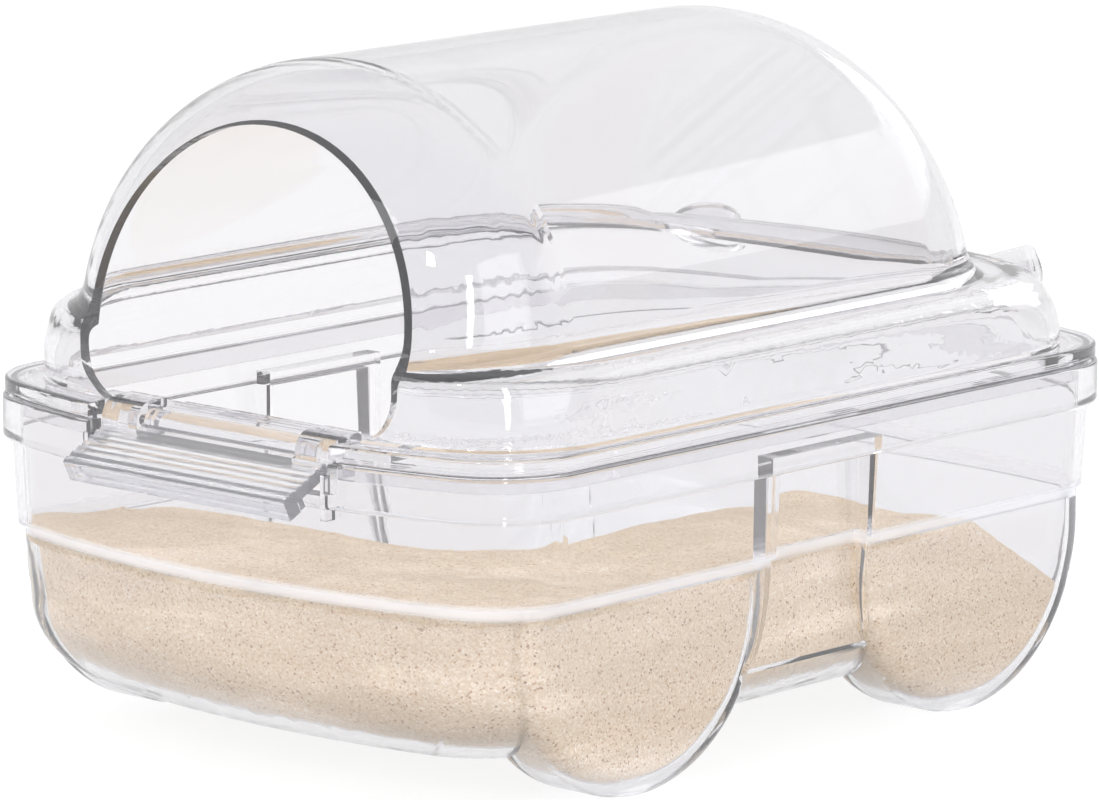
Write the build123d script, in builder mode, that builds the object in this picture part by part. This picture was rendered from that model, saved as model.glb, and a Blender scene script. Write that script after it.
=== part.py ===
"""Small-pet sand bath in the shape of a little car: tray, lid, front clip and sand.

Millimetres, +Z up.  The origin is on the table under the middle of the bath.
+Y points to the bonnet and -Y to the arched entrance.
"""
from build123d import *
from math import asin, cos, degrees, radians, sin, sqrt
import os

# ---------------------------------------------------------------- driving dimensions
rim_width = 140.0            # tray rim, across
rim_length = 200.0           # tray rim, from bowed end to bowed end
end_bow = 12.0               # how far each end bows out over the full width
corner_radius = 20.0         # plan corner of the rim
wall = 2.0                   # moulded wall of the tray
lid_wall = 2.2               # moulded wall of the lid

floor_height = 8.0           # underside of the tray floor
step_height = 40.0           # small ledge round the tray wall
rim_bottom = 56.4
rim_top = 65.0
rim_edge = 1.2
upper_inset = 1.8            # wall just under the rim, in from the rim face
upper_draft = 0.9
step_width = 1.2
lower_draft = 1.0
floor_edge = 18.0            # rounding between the wall and the floor

pod_radius = 34.0            # half-round wheel pods
pod_spacing = 96.0           # front pod centre to rear pod centre
pod_depth = 18.0
pod_edge = 4.4
gap_recess = 3.0             # wall between two pods, in from the pod face
foot_width = 8.0             # flat along the lowest line of each pod
pod_height = sqrt(pod_radius ** 2 - (foot_width / 2) ** 2)

flange_bottom = 65.8
flange_top = 68.4
flange_inset = 0.4
flange_edge = 0.6
seat_inset = 1.6             # bead under the flange that rests on the tray rim
seat_width = 1.2
skirt_depth = 4.0            # skirt that locates the lid inside the rim
skirt_thickness = 1.6
skirt_play = 0.3
skirt_inset = upper_inset + wall + skirt_play

belt_width = 134.0
belt_front = 94.5
belt_rear = 94.8
belt_corner = 27.0
belt_taper = 9.0             # how much rounder the corners are at the top
shelf_height = 83.0          # top of the belt and of the bonnet
shelf_edge = 3.0
nose_length = 9.0            # the bonnet curves down over this length

dome_width = 114.6
dome_spring = 83.0           # where the roof arch starts
dome_top = 132.5
# each rounded end of the roof: where it stands, its lean in degrees, how far it rounds
# along the bath, and how far it draws in the sides and the top
front_end = (-89.6, 10.0, 30.0, 27.3, 18.0)
rear_end = (70.9, -12.8, -28.0, 20.0, 8.0)
dome_foot = 5.0              # the roof's sides flare out where they meet the shelf

door_half_width = 40.0
door_spring = 84.0
door_rise = 38.0
door_corner = 9.0

lamp_x, lamp_y, lamp_z = 43.7, 94.5, 80.2   # middle of a headlight's face
lamp_half_width = 7.2
lamp_half_height = 4.1
lamp_depth = 19.0            # into the bonnet
lamp_edge = 1.4
lamp_turn = 45.0             # degrees outwards
lamp_tilt = 15.0             # degrees upwards

hinge_y, hinge_z = -91.0, 65.4
barrel_radius = 2.5
barrel_length = 40.0
pin_radius = 1.2
pin_length = 4.0
pin_play = 0.06
clip_gap = 0.35              # running gap round the moving clip
clip_width = 56.8
clip_slope = 26.5            # degrees below level when shut
clip_reach = 16.7            # hinge axis to the outer lip
clip_thickness = 2.2
flap_rise = 1.0              # top of the flap, above the hinge axis
teeth = 7                    # ridges across the flap
tooth_height = 0.5
lip_height = 4.2
lip_thickness = 3.0
rib_reach, rib_width, rib_height = 12.2, 1.2, 1.8   # rib behind the lip

notch_width = 62.0           # opening in the tray rim and in the flange for the clip
catch_top = 59.0             # what the notch leaves of the tray rim
ear_radius = 4.0
ear_width = 9.2
ear_gap = barrel_length + 2 * clip_gap
guide_place = 30.6
guide_bottom, guide_top = 54.5, 63.0   # short upright ribs either side of the clip
guide_width = 1.2
guide_front = -98.4
guide_depth = 3.6
sill_front, sill_rear = -88.1, -81.6
sill_top = 67.6
treads = 3
tread_width = 1.2
tread_height = 0.4

sand_top = 39.0
sand_gap = 0.1
sand_wave = 1.2
pit_corner = (24.0, -46.0)   # the sand is dug out behind this point, towards the far corner
pit_floor = 13.0
pit_rounding = 16.0
pit_bank = 36.0              # width of the slope down to the pit's floor
tail_start = 42.0            # behind this the sand runs down to the rear
tail_bank = 48.0

os.makedirs("parts", exist_ok=True)


# ---------------------------------------------------------------- outlines
def plan(height, inset, width=rim_width, front=rim_length / 2, rear=rim_length / 2,
         corner=corner_radius):
    """Closed plan outline with straight sides and bowed ends, moved in by inset."""
    half = width / 2
    bow_radius = (half ** 2 + end_bow ** 2) / (2 * end_bow) - inset
    side = half - inset
    drop = bow_radius - sqrt(bow_radius ** 2 - side ** 2)
    y_front, y_rear = inset - front, rear - inset
    with BuildSketch(Plane.XY.offset(height)) as sketch:
        with BuildLine():
            Line((side, y_front + drop), (side, y_rear - drop))
            ThreePointArc((side, y_rear - drop), (0, y_rear), (-side, y_rear - drop))
            Line((-side, y_rear - drop), (-side, y_front + drop))
            ThreePointArc((-side, y_front + drop), (0, y_front), (side, y_front + drop))
        make_face()
        fillet(sketch.vertices(), corner - inset)
    return sketch.sketch


def belt_plan(height, inset):
    """Plan outline of the lid above its flange."""
    return plan(height, inset, belt_width, belt_front, belt_rear, belt_corner)


def pod_profile(side, y_centre, radius, top):
    """Half-round pod with straight sides, drawn on the plane x = side."""
    with BuildSketch(Plane.YZ.offset(side)) as sketch:
        with Locations((y_centre, pod_height)):
            Circle(radius)
        with Locations((y_centre, (pod_height + top) / 2)):
            Rectangle(2 * radius, top - pod_height)
        with Locations((y_centre, top - pod_radius)):
            Rectangle(2 * radius, 2 * pod_radius, mode=Mode.INTERSECT)
    return sketch.sketch


# ---------------------------------------------------------------- tray volumes
def side_gap(face_x, top, skin):
    """Tool that draws the side walls in between a front and a rear pod."""
    with BuildPart() as gap:
        with BuildSketch(Plane.YZ.offset(face_x)):
            with Locations((0, top / 2)):
                Rectangle(pod_spacing, top + 2)
            for end in (-1, 1):
                with Locations((end * pod_spacing / 2, pod_height)):
                    Circle(pod_radius - skin, mode=Mode.SUBTRACT)
                with Locations((end * pod_spacing / 2, pod_height + top / 2)):
                    Rectangle(2 * (pod_radius - skin), top, mode=Mode.SUBTRACT)
        extrude(amount=rim_width / 4)
        mirror(about=Plane.YZ)
    return gap.part


def tub(skin, top):
    """The tub moved in by skin: skin 0 is its outside, skin = wall its hollow."""
    upper = upper_inset + upper_draft
    lower = upper + step_width
    edge = floor_edge - skin
    bottom = []
    for angle in (0, 12, 30, 50, 70, 90):
        inset = lower + lower_draft + skin + edge * (1 - sin(radians(angle)))
        bottom.append(plan(floor_height + skin + edge * (1 - cos(radians(angle))), inset,
                           corner=corner_radius - lower + inset))
    with BuildPart() as body:
        loft(bottom)
        loft([bottom[-1], plan(step_height - skin, lower + skin)], ruled=True)
        loft([plan(step_height - skin, upper + skin),
              plan(top, upper_inset + skin)], ruled=True)
        add(side_gap(rim_width / 2 - lower - gap_recess - skin, step_height - skin, skin),
            mode=Mode.SUBTRACT)
        add(side_gap(rim_width / 2 - upper - gap_recess - skin, rim_bottom + skin, skin),
            mode=Mode.SUBTRACT)
        add(pods(rim_width / 2 - lower - skin, skin))
    return body.part


def rim():
    """Thick band round the top of the tray."""
    with BuildPart() as band:
        extrude(plan(rim_bottom, 0), amount=rim_top - rim_bottom)
        fillet(band.faces().sort_by(Axis.Z)[0].edges(), rim_edge)
        fillet(band.faces().sort_by(Axis.Z)[-1].edges(), rim_edge / 2)
    return band.part


def pods(face_x, skin):
    """The four wheel pods with their outer edges rounded."""
    with BuildPart() as group:
        for end in (-1, 1):
            extrude(pod_profile(face_x, end * pod_spacing / 2, pod_radius - skin,
                                step_height - skin), amount=-(pod_depth - 2 * skin))
        ends = group.faces().filter_by(Axis.X)
        fillet(ends.edges().filter_by(GeomType.CIRCLE), pod_edge - skin / 2)
        mirror(about=Plane.YZ)
    return group.part


# ---------------------------------------------------------------- lid volumes
def flange():
    """Flat edge of the lid with the bead it rests on and the skirt inside the tray rim."""
    with BuildPart() as edge:
        extrude(plan(flange_bottom, flange_inset), amount=flange_top - flange_bottom)
        fillet(edge.faces().sort_by(Axis.Z)[-1].edges(), flange_edge)
        extrude(plan(rim_top, seat_inset), amount=flange_bottom - rim_top)
        extrude(plan(rim_top, seat_inset + seat_width), amount=flange_bottom - rim_top,
                mode=Mode.SUBTRACT)
        extrude(plan(flange_bottom - skirt_depth, skirt_inset), amount=skirt_depth)
        extrude(plan(flange_bottom - skirt_depth, skirt_inset + skirt_thickness),
                amount=skirt_depth, mode=Mode.SUBTRACT)
        extrude(belt_plan(flange_bottom, lid_wall), amount=2 * lid_wall, mode=Mode.SUBTRACT)
    return edge.part


def belt(skin):
    """Lower storey of the lid: upright sides and front, bonnet curving down at the rear."""
    height = shelf_height - flange_top
    sections = []
    for rise in (0.0, 0.3, 0.55, 0.75, 0.88, 0.96, 1.0):
        back = nose_length * (1 - sqrt(1 - rise ** 2))
        over = max(rise * height - (height - shelf_edge), 0.0)
        edge = shelf_edge - sqrt(shelf_edge ** 2 - over ** 2)
        sections.append(plan(flange_top + rise * (height - skin), skin, belt_width - 2 * edge,
                             belt_front - edge, belt_rear - back,
                             belt_corner + belt_taper * rise ** 2 - edge))
    with BuildPart() as body:
        loft(sections)
        extrude(belt_plan(flange_bottom, skin), amount=flange_top - flange_bottom)
    return body.part


def arch(y, lean, half, rise, base, flare):
    """Section of the roof on a plane that leans by so many degrees at the spring line."""
    leg = base - dome_spring
    start = asin(flare / rise)
    corner, joint = (half + flare, -flare / 8), (half * cos(start), flare)
    with BuildSketch(Plane((0, y, dome_spring), x_dir=(1, 0, 0),
                           z_dir=(0, -cos(radians(lean)), sin(radians(lean))))) as sketch:
        with BuildLine():
            EllipticalCenterArc((0, 0), half, rise, start_angle=degrees(start),
                                arc_size=180 - 2 * degrees(start))
            if flare:
                side = Spline(corner, joint, tangents=((-1, 0.4), (-half * sin(start),
                                                                   rise * cos(start))))
                mirror(side, about=Plane.YZ)
            Polyline(corner, (corner[0], leg), (-corner[0], leg), (-corner[0], corner[1]))
        make_face()
    return sketch.sketch


def roof(skin, base):
    """Cabin roof: an arch drawn front to back, with leaning, widely rounded ends."""
    half, rise = dome_width / 2 - skin, dome_top - dome_spring - skin
    flare = 0 if skin else dome_foot
    ends = []
    for place, lean, length, side, drop in (front_end, rear_end):
        inward = skin if length > 0 else -skin
        steps = [radians(angle) for angle in (0, 15, 35, 55, 75, 90)]
        ends.append([arch(place + inward + (length - inward) * (1 - cos(step)),
                          lean * cos(step), half - (side - skin) * (1 - sin(step)),
                          rise - (drop - skin) * (1 - sin(step)), base, flare)
                     for step in steps])
    with BuildPart() as body:
        loft(ends[0])
        loft(ends[1])
        loft([ends[0][-1], ends[1][-1]])
    return body.part


def lamps(skin):
    """Two oval headlights that face diagonally outwards from the bonnet corners."""
    turn, tilt = radians(lamp_turn), radians(lamp_tilt)
    face = Plane((lamp_x, lamp_y, lamp_z), x_dir=(cos(turn), -sin(turn), 0),
                 z_dir=(sin(turn) * cos(tilt), cos(turn) * cos(tilt), sin(tilt)))
    with BuildPart() as pair:
        with BuildSketch(face.offset(-skin)):
            Ellipse(lamp_half_width - skin, lamp_half_height - skin)
        extrude(amount=-lamp_depth)
        if skin == 0:
            fillet(pair.faces().filter_by(GeomType.PLANE).edges(), lamp_edge)
        mirror(about=Plane.YZ)
    return pair.part


def door(thickness):
    """Tool for the arched entrance, straight through the front of the lid."""
    with BuildPart() as tool:
        with BuildSketch(Plane.XZ.offset(-hinge_y)) as outline:
            with BuildLine():
                arch_line = EllipticalCenterArc((0, door_spring), door_half_width, door_rise,
                                                arc_size=180)
                FilletPolyline(arch_line @ 1, (-door_half_width, flange_top),
                               (door_half_width, flange_top), arch_line @ 0,
                               radius=door_corner)
            make_face()
        extrude(amount=thickness, both=True)
    return tool.part


# ---------------------------------------------------------------- tray
with BuildPart() as tray:
    add(tub(0, rim_bottom + rim_edge))
    add(rim())
    add(tub(wall, rim_top + 1), mode=Mode.SUBTRACT)
    with Locations((0, -rim_length / 2, catch_top)):
        Box(notch_width, rim_length / 10, rim_top,
            align=(Align.CENTER, Align.CENTER, Align.MIN), mode=Mode.SUBTRACT)
    for side in (-1, 1):
        with Locations((side * guide_place, guide_front, guide_bottom)):
            Box(guide_width, guide_depth, guide_top - guide_bottom,
                align=(Align.CENTER, Align.MIN, Align.MIN))
    split(bisect_by=Plane.XY, keep=Keep.TOP)

# ---------------------------------------------------------------- lid
with BuildPart() as lid:
    add(belt(0))
    add(roof(0, shelf_height - 2 * shelf_edge))
    add(lamps(0))
    add(belt(lid_wall), mode=Mode.SUBTRACT)
    add(roof(lid_wall, shelf_height - 2 * lid_wall), mode=Mode.SUBTRACT)
    add(lamps(lid_wall), mode=Mode.SUBTRACT)
    add(flange())
    add(door(rim_length / 10), mode=Mode.SUBTRACT)
    # the flange and the skirt stop either side of the clip
    with Locations((0, -rim_length, flange_bottom)):
        Box(notch_width, 2 * (rim_length + hinge_y), lid_wall * 4, mode=Mode.SUBTRACT)
        Box(notch_width, 2 * (rim_length + sill_front), 2 * skirt_depth + seat_inset,
            align=(Align.CENTER, Align.CENTER, Align.MAX), mode=Mode.SUBTRACT)
        Box(ear_gap, 2 * (rim_length + sill_front), lid_wall * 4, mode=Mode.SUBTRACT)
    # ribbed sill, and the two ears that hold the clip's pins
    with BuildSketch(Plane.XY.offset(flange_bottom)):
        with Locations((0, (hinge_y + sill_rear) / 2)):
            Rectangle(2 * door_half_width, sill_rear - hinge_y)
        with Locations((0, sill_front - ear_radius)):
            Rectangle(ear_gap, 2 * ear_radius, mode=Mode.SUBTRACT)
    extrude(amount=sill_top - flange_bottom)
    for row in range(treads):
        with Locations((0, sill_front + (row + 0.5) * (sill_rear - sill_front) / treads,
                        sill_top)):
            Box(barrel_length, tread_width, 2 * tread_height)
    with BuildSketch(Plane.YZ.offset(ear_gap / 2)):
        with Locations((hinge_y, hinge_z)):
            Circle(ear_radius)
        with Locations((hinge_y + ear_radius / 2, hinge_z)):
            Rectangle(ear_radius, 2 * ear_radius)
    ears = extrude(amount=ear_width)
    mirror(ears, about=Plane.YZ)
    with Locations((0, hinge_y, hinge_z)):
        Cylinder(pin_radius + pin_play, ear_gap + 2 * pin_length, rotation=(0, 90, 0),
                 mode=Mode.SUBTRACT)

# ---------------------------------------------------------------- clip
# drawn from the hinge axis: first along the flap, then up from it
slope = radians(clip_slope)
flap_plane = Plane((clip_width / 2, hinge_y, hinge_z), x_dir=(0, -cos(slope), -sin(slope)),
                   z_dir=(-1, 0, 0))
under = flap_rise - clip_thickness
tooth_pitch = (clip_reach - ear_radius - clip_gap) / teeth
with BuildPart() as clip:
    with BuildSketch(flap_plane):
        with BuildLine():
            ridges = [(clip_reach, flap_rise)]
            for tooth in range(1, teeth + 1):
                start = clip_reach - tooth * tooth_pitch
                ridges += [(start + 0.3 * tooth_pitch, flap_rise + tooth_height),
                           (start, flap_rise)]
            Polyline(*ridges, (0, flap_rise), (0, under), (rib_reach, under),
                     (rib_reach, under - rib_height), (rib_reach + rib_width, under - rib_height),
                     (rib_reach + rib_width, under), (clip_reach - lip_thickness, under),
                     (clip_reach - lip_thickness, flap_rise - lip_height),
                     (clip_reach, flap_rise - lip_height), close=True)
        make_face()
    extrude(amount=clip_width)
    with Locations((0, hinge_y, hinge_z)):
        Cylinder(ear_radius + clip_gap, 2 * clip_width, rotation=(0, 90, 0), mode=Mode.SUBTRACT)
    with BuildSketch(flap_plane.offset((clip_width - barrel_length) / 2)):
        with Locations(((ear_radius + 1) / 2, flap_rise - clip_thickness / 2)):
            Rectangle(ear_radius + 1, clip_thickness)
    extrude(amount=barrel_length)
    with Locations((0, hinge_y, hinge_z)):
        Cylinder(barrel_radius, barrel_length, rotation=(0, 90, 0))
        Cylinder(pin_radius, barrel_length + 2 * pin_length, rotation=(0, 90, 0))

# ---------------------------------------------------------------- sand
with BuildPart() as sand:
    add(tub(wall + sand_gap, rim_bottom).moved(Location((0, 0, 2 * sand_gap))))
    with BuildSketch(Plane.YZ):
        with BuildLine():
            surface = [(rim_length * (step / 8 - 0.5), sand_top + sand_wave * sin(1.9 * step))
                       for step in range(9)]
            Spline(*surface)
            Polyline(surface[-1], (rim_length / 2, wall), (-rim_length / 2, wall), surface[0])
        make_face()
    extrude(amount=rim_width / 2, both=True, mode=Mode.INTERSECT)
    # dug out to the far rear, and running down behind
    top = sand_top + 2 * sand_wave
    for corner, bank, side in ((pit_corner, pit_bank, pit_bank),
                               ((rim_width, tail_start), tail_bank, 0)):
        levels = []
        for height, step in ((top, 0), (pit_floor, 1)):
            with BuildSketch(Plane.XY.offset(height)) as level:
                with Locations((corner[0] - side * step, corner[1] + bank * step)):
                    Rectangle(2 * rim_length, 2 * rim_length, align=(Align.MAX, Align.MIN))
                fillet(level.vertices(), pit_rounding)
            levels.append(level.sketch)
        loft(levels, mode=Mode.SUBTRACT)

# the clip stands out in front, so everything moves back to centre the whole outline
centring = Location((0, (clip_reach * cos(slope) + flap_rise * sin(slope) - hinge_y
                         - rim_length / 2) / 2, 0))
for name, piece in (("tray", tray), ("lid", lid), ("clip", clip), ("sand", sand)):
    piece.part.label = name
    export_step(piece.part.move(centring), f"parts/{name}.step")
print("moved back by", round(centring.position.Y, 3), "mm")
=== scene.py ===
"""Looks of the clear plastic sand bath: plastics, a bed of sand, a white floor and studio light.

Metres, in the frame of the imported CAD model: +Z up, the arched entrance towards -Y.
"""

import bpy
import bmesh
import math
from mathutils import Matrix, Vector, noise


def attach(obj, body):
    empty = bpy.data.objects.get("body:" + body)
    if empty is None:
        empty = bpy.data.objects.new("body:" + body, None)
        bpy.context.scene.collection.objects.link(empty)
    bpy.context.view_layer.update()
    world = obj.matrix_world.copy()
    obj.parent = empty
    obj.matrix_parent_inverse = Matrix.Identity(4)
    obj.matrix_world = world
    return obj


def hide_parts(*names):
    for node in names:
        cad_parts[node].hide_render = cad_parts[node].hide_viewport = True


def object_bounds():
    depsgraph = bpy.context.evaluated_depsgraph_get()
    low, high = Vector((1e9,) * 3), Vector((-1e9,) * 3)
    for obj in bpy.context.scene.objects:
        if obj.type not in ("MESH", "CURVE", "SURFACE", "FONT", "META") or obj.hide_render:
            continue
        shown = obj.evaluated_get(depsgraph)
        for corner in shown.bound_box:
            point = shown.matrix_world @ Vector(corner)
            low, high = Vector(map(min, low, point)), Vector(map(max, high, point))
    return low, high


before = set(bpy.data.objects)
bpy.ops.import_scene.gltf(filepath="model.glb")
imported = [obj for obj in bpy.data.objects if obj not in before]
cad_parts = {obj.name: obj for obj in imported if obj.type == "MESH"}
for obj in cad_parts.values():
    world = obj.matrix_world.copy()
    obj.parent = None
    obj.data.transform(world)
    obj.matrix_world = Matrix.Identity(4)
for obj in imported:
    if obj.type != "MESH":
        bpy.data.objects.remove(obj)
cad_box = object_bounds()
scene = bpy.context.scene

# ------------------------------------------------------------------ camera
CAMERA_AZIMUTH = math.radians(41.79)      # towards the entrance end of the right-hand side
CAMERA_HEIGHT = math.radians(10.56)       # above the horizon
CAMERA_ROLL = math.radians(-0.287)
CAMERA_DISTANCE = 1.4058
CAMERA_LENS = 235.4                       # mm, on a 36 mm sensor
CAMERA_AIM = Vector((-0.00843, 0.01008, 0.05766))


def add_camera():
    back = Vector((math.sin(CAMERA_AZIMUTH) * math.cos(CAMERA_HEIGHT),
                   -math.cos(CAMERA_AZIMUTH) * math.cos(CAMERA_HEIGHT),
                   math.sin(CAMERA_HEIGHT)))
    data = bpy.data.cameras.new("camera")
    data.lens, data.sensor_width = CAMERA_LENS, 36.0
    camera = bpy.data.objects.new("camera", data)
    camera.location = CAMERA_AIM + back * CAMERA_DISTANCE
    turn = (-back).to_track_quat("-Z", "Y").to_matrix()
    camera.rotation_euler = (turn @ Matrix.Rotation(-CAMERA_ROLL, 3, "Z")).to_euler()
    data.clip_start, data.clip_end = 0.05, 50.0
    scene.collection.objects.link(camera)
    scene.camera = camera


# ------------------------------------------------------------------ node helpers
class Nodes:
    """A short way to write a material's node tree."""

    def __init__(self, tree):
        self.tree = tree
        tree.nodes.clear()

    def add(self, kind, links=None, **settings):
        """A node with its links, by socket, and its settings: properties or input values."""
        node = self.tree.nodes.new(kind)
        for key, value in settings.items():
            if hasattr(node, key):
                setattr(node, key, value)
            else:
                node.inputs[key.replace("_", " ")].default_value = value
        for socket, source in (links or {}).items():
            self.link(source, node, socket)
        return node

    def link(self, source, node, socket):
        output = source if isinstance(source, bpy.types.NodeSocket) else source.outputs[0]
        self.tree.links.new(output, node.inputs[socket])

    def ramp(self, source, stops):
        """Colours, or greys given as one number, against places from 0 to 1."""
        node = self.add("ShaderNodeValToRGB", {"Fac": source})
        elements = node.color_ramp.elements
        while len(elements) < len(stops):
            elements.new(0.5)
        for element, (place, value) in zip(elements, stops):
            element.position = place
            element.color = (*value, 1) if isinstance(value, tuple) else (value,) * 3 + (1,)
        return node


def new_material(name):
    material = bpy.data.materials.new(name)
    material.use_nodes = True
    return material, Nodes(material.node_tree)


# ------------------------------------------------------------------ materials
WALL_TINT = (0.862, 0.857, 0.872)        # what one surface of the plastic lets through
EDGE_PAINTED_SHADE = (0.42, 0.38, 0.47)           # painted shade: a darker colour where a surface is seen edge-on, for dark lines along the edges
WALL_SHADE = (0.955, 0.95, 0.955, 1)     # the same for light on its way to the sand
EDGE_START = 0.78                        # how far a surface turns away before the painted edge shade begins
PLASTIC_IOR = 1.49
FROST = (0.86, 0.87, 0.90, 1)
SMOOTHEST = 0.015                        # roughness of the moulded gloss
RIPPLE_SCALE, RIPPLE_DEPTH = 22.0, 0.0006
WEAR_SCALE = 260.0
HAZE_TOP = 0.1                           # height in metres where the haze's scale ends


def haze_by_height(milk):
    """Share of frost at heights from 0 to HAZE_TOP, given in millimetres."""
    stops = [(0.0, 0.35), (5.0, 0.12), (12.0, milk),                   # scuffed feet
             (37.8, milk + 0.06), (38.8, 0.4), (40.3, 0.4), (41.3, milk),  # step in the wall
             (72.0, milk), (84.0, 0.02)]                               # clearer dome
    return [(height / 1000 / HAZE_TOP, share) for height, share in stops]


def clear_plastic(name, waviness, haze, milk):
    """Clear moulded plastic: faintly milky, with flow ripples, a frosted step and hazy feet.

    waviness is the strength of the ripples, haze the most that wear adds to the roughness,
    and milk the share of frost in the plain walls.
    """
    material, nodes = new_material(name)
    place = nodes.add("ShaderNodeTexCoord").outputs["Object"]
    ripple = nodes.add("ShaderNodeTexNoise", {"Vector": place}, Scale=RIPPLE_SCALE, Detail=0.5)
    wear = nodes.add("ShaderNodeTexNoise", {"Vector": place}, Scale=WEAR_SCALE, Detail=4.0)
    bump = nodes.add("ShaderNodeBump", {"Height": ripple}, Strength=waviness,
                     Distance=RIPPLE_DEPTH)
    roughness = nodes.ramp(wear, [(0.45, SMOOTHEST), (0.8, SMOOTHEST + haze)])
    # painted shade: the plastic's colour darkens where a surface is seen edge-on, which draws
    # dark lines along its edges
    edge_shade_mask = nodes.add("ShaderNodeLayerWeight", Blend=0.5).outputs["Facing"]
    tint_and_edge_shade = nodes.ramp(edge_shade_mask, [(0.0, WALL_TINT), (EDGE_START, WALL_TINT), (1.0, EDGE_PAINTED_SHADE)])
    body = nodes.add("ShaderNodeBsdfPrincipled",
                     {"Base Color": tint_and_edge_shade, "Roughness": roughness, "Normal": bump},
                     IOR=PLASTIC_IOR, Transmission_Weight=1.0)
    height = nodes.add("ShaderNodeSeparateXYZ", {"Vector": place}).outputs["Z"]
    level = nodes.add("ShaderNodeMapRange", {"Value": height}, From_Min=0.0, From_Max=HAZE_TOP)
    share = nodes.ramp(level, haze_by_height(milk))
    frost = nodes.add("ShaderNodeBsdfDiffuse", Color=FROST)
    frosted = nodes.add("ShaderNodeMixShader", {0: share, 1: body, 2: frost})
    # shadows stay pale, so that the sand is lit through the walls
    rays = nodes.add("ShaderNodeLightPath")
    clear = nodes.add("ShaderNodeBsdfTransparent", Color=WALL_SHADE)
    both = nodes.add("ShaderNodeMixShader",
                     {0: rays.outputs["Is Shadow Ray"], 1: frosted, 2: clear})
    nodes.add("ShaderNodeOutputMaterial", {"Surface": both})
    return material


GRAIN_SCALE, GRAIN_HEIGHT = 3000.0, 0.0003
DUNE_SCALE, DUNE_HEIGHT = 55.0, 0.004


def sand_material():
    """Fine dry sand: beige grains with dark and orange ones among them, and pale streaks."""
    material, nodes = new_material("sand")
    place = nodes.add("ShaderNodeTexCoord").outputs["Object"]
    grains = nodes.add("ShaderNodeTexVoronoi", {"Vector": place}, Scale=GRAIN_SCALE)
    pick = nodes.add("ShaderNodeSeparateColor", {"Color": grains.outputs["Color"]})
    shade = nodes.ramp(pick, [(0.0, (0.34, 0.20, 0.11)), (0.03, (0.60, 0.38, 0.21)),
                              (0.08, (0.78, 0.61, 0.42)), (0.5, (0.86, 0.70, 0.51)),
                              (0.9, (0.93, 0.80, 0.62)), (1.0, (0.98, 0.91, 0.79))])
    # long, nearly level streaks, as poured sand lies
    stretch = nodes.add("ShaderNodeMapping", {"Vector": place}, Scale=(12.0, 12.0, 70.0),
                        Rotation=(0.06, 0.05, 0.0))
    layers = nodes.add("ShaderNodeTexNoise", {"Vector": stretch}, Scale=1.6, Detail=5.0,
                       Roughness=0.6)
    tone = nodes.ramp(layers, [(0.36, (0.88, 0.85, 0.80)), (0.50, (0.96, 0.94, 0.91)),
                               (0.62, (1.14, 1.16, 1.20))])
    colour = nodes.add("ShaderNodeMixRGB", {"Color1": shade, "Color2": tone},
                       blend_type="MULTIPLY", Fac=1.0)
    dunes = nodes.add("ShaderNodeTexNoise", {"Vector": place}, Scale=DUNE_SCALE, Detail=3.0)
    swell = nodes.add("ShaderNodeBump", {"Height": dunes}, Strength=0.5, Distance=DUNE_HEIGHT)
    bump = nodes.add("ShaderNodeBump", {"Height": pick, "Normal": swell}, Strength=0.5,
                     Distance=GRAIN_HEIGHT)
    body = nodes.add("ShaderNodeBsdfPrincipled", {"Base Color": colour, "Normal": bump},
                     Roughness=0.95, Specular_IOR_Level=0.2)
    nodes.add("ShaderNodeOutputMaterial", {"Surface": body})
    return material


def floor_material():
    """White table top lit through from below, with the faintest grain."""
    material, nodes = new_material("floor")
    place = nodes.add("ShaderNodeTexCoord").outputs["Object"]
    grain = nodes.add("ShaderNodeTexNoise", {"Vector": place}, Scale=60.0, Detail=3.0)
    tone = nodes.ramp(grain, [(0.0, 0.17), (1.0, 0.19)])
    body = nodes.add("ShaderNodeBsdfPrincipled", {"Base Color": tone}, Roughness=0.9,
                     Emission_Color=(1, 1, 1, 1), Emission_Strength=0.85)
    nodes.add("ShaderNodeOutputMaterial", {"Surface": body})
    return material


# ------------------------------------------------------------------ studio
FLOOR_HALF = 12.0
BACKDROP = (-0.66, 0.75, 0.0)            # level direction of the white sweep behind the bath
SOFTBOXES = (                            # name, direction, distance, width, height, watts
    ("rear_right", (0.33, 0.82, 0.46), 2.0, 3.2, 0.8, 7.0),
    ("right", (1.0, -0.15, 0.45), 2.0, 1.2, 1.2, 7.0),
    ("front", (-0.4, -1.0, 0.6), 2.2, 1.4, 1.2, 14.0),
    ("strip", (0.80, -0.60, 0.35), 1.6, 0.10, 0.9, 4.0),
    ("spark", (0.30, -0.70, 0.58), 1.8, 0.12, 0.12, 2.0),
)


def add_floor():
    mesh = bpy.data.meshes.new("floor")
    shape = bmesh.new()
    bmesh.ops.create_grid(shape, x_segments=8, y_segments=8, size=FLOOR_HALF)
    shape.to_mesh(mesh)
    shape.free()
    floor = bpy.data.objects.new("floor", mesh)
    floor.location.z = cad_box[0].z
    mesh.materials.append(floor_material())
    scene.collection.objects.link(floor)


def add_softbox(name, direction, distance, width, height, watts):
    """A rectangular lamp that faces the bath from the given direction."""
    data = bpy.data.lights.new(name, "AREA")
    data.shape = "RECTANGLE"
    data.size, data.size_y = width, height
    data.energy = watts
    lamp = bpy.data.objects.new(name, data)
    away = Vector(direction).normalized()
    lamp.location = away * distance
    lamp.rotation_euler = (-away).to_track_quat("-Z", "Y").to_euler()
    scene.collection.objects.link(lamp)


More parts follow.
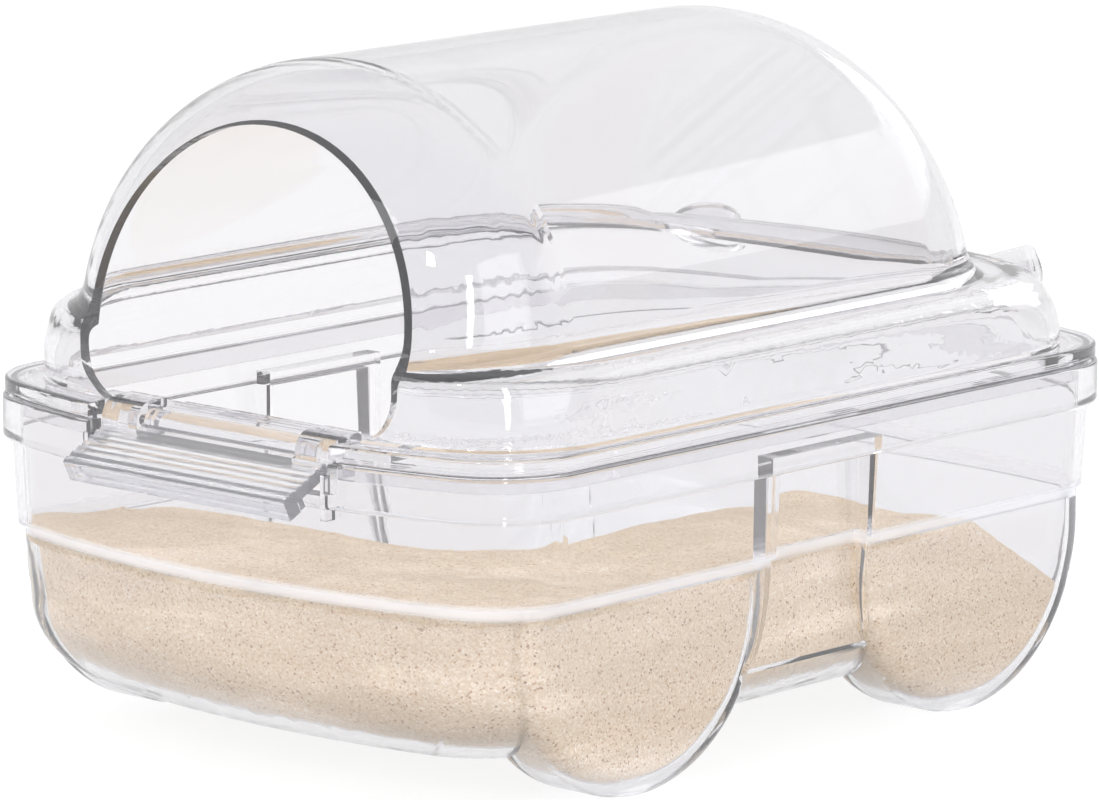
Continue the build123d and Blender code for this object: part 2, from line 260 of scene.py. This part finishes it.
def add_studio():
    """White sweep behind the bath, a greyer room in front of it, and softboxes."""
    world = bpy.data.worlds.new("studio")
    scene.world = world
    world.use_nodes = True
    nodes = Nodes(world.node_tree)
    ray = nodes.add("ShaderNodeTexCoord").outputs["Generated"]
    facing = nodes.add("ShaderNodeVectorMath", {0: ray}, operation="DOT_PRODUCT")
    facing.inputs[1].default_value = BACKDROP
    room = nodes.ramp(nodes.add("ShaderNodeMapRange", {"Value": facing.outputs["Value"]},
                                From_Min=-1.0, From_Max=1.0),
                      [(0.0, (0.52, 0.52, 0.55)), (0.42, (0.62, 0.62, 0.65)),
                       (0.62, (1.0, 1.0, 1.0))])
    light = nodes.add("ShaderNodeBackground", {"Color": room}, Strength=1.0)
    nodes.add("ShaderNodeOutputWorld", {"Surface": light})
    for softbox in SOFTBOXES:
        add_softbox(*softbox)


# ------------------------------------------------------------------ pieces
PLASTIC_PIECES = (                       # node, waviness, haze, milk
    ("tray", 0.05, 0.05, 0.04),
    ("lid", 0.045, 0.01, 0.04),
    ("clip", 0.04, 0.06, 0.09),
)
SAND_VOXEL = 0.0011
FREE_SLOPE = 0.35                        # upward part of the normal where sand lies free
SMOOTH_ROUNDS = 14
RIPPLES = ((45, 3.0, 0.0011), (160, 7.0, 0.00035))   # waves per metre, noise layer, height


def paint_cad():
    """Clear plastic on the moulded pieces, which keep their CAD shapes."""
    for node, waviness, haze, milk in PLASTIC_PIECES:
        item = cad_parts[node]
        item.data.materials.clear()
        item.data.materials.append(clear_plastic(node + "_plastic", waviness, haze, milk))


def add_sand():
    """The bed of sand: the CAD solid remeshed finely, its top softened and rippled."""
    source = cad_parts["sand"]
    sand = bpy.data.objects.new("sand_bed", source.data.copy())
    scene.collection.objects.link(sand)
    remesh = sand.modifiers.new("remesh", "REMESH")
    remesh.mode, remesh.voxel_size, remesh.use_smooth_shade = "VOXEL", SAND_VOXEL, True
    graph = bpy.context.evaluated_depsgraph_get()
    mesh = bpy.data.meshes.new_from_object(sand.evaluated_get(graph))
    sand.modifiers.clear()
    sand.data = mesh
    shape = bmesh.new()
    shape.from_mesh(mesh)
    free = [vertex for vertex in shape.verts if vertex.normal.z > FREE_SLOPE]
    for _ in range(SMOOTH_ROUNDS):
        bmesh.ops.smooth_vert(shape, verts=free, factor=0.6, use_axis_x=False,
                              use_axis_y=False, use_axis_z=True)
    for vertex in free:
        spot = vertex.co
        ripple = sum(noise.noise(Vector((spot.x * waves, spot.y * waves, layer))) * height
                     for waves, layer, height in RIPPLES)
        # full height on level sand, fading out on its steep sides
        spot.z += ripple * min(1.0, (vertex.normal.z - FREE_SLOPE) * 2)
    shape.to_mesh(mesh)
    shape.free()
    mesh.materials.clear()
    mesh.materials.append(sand_material())
    for face in mesh.polygons:
        face.use_smooth = True
    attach(sand, "tray")
    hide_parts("sand")


add_camera()
scene.view_settings.view_transform = "Standard"
add_studio()
add_floor()
paint_cad()
add_sand()
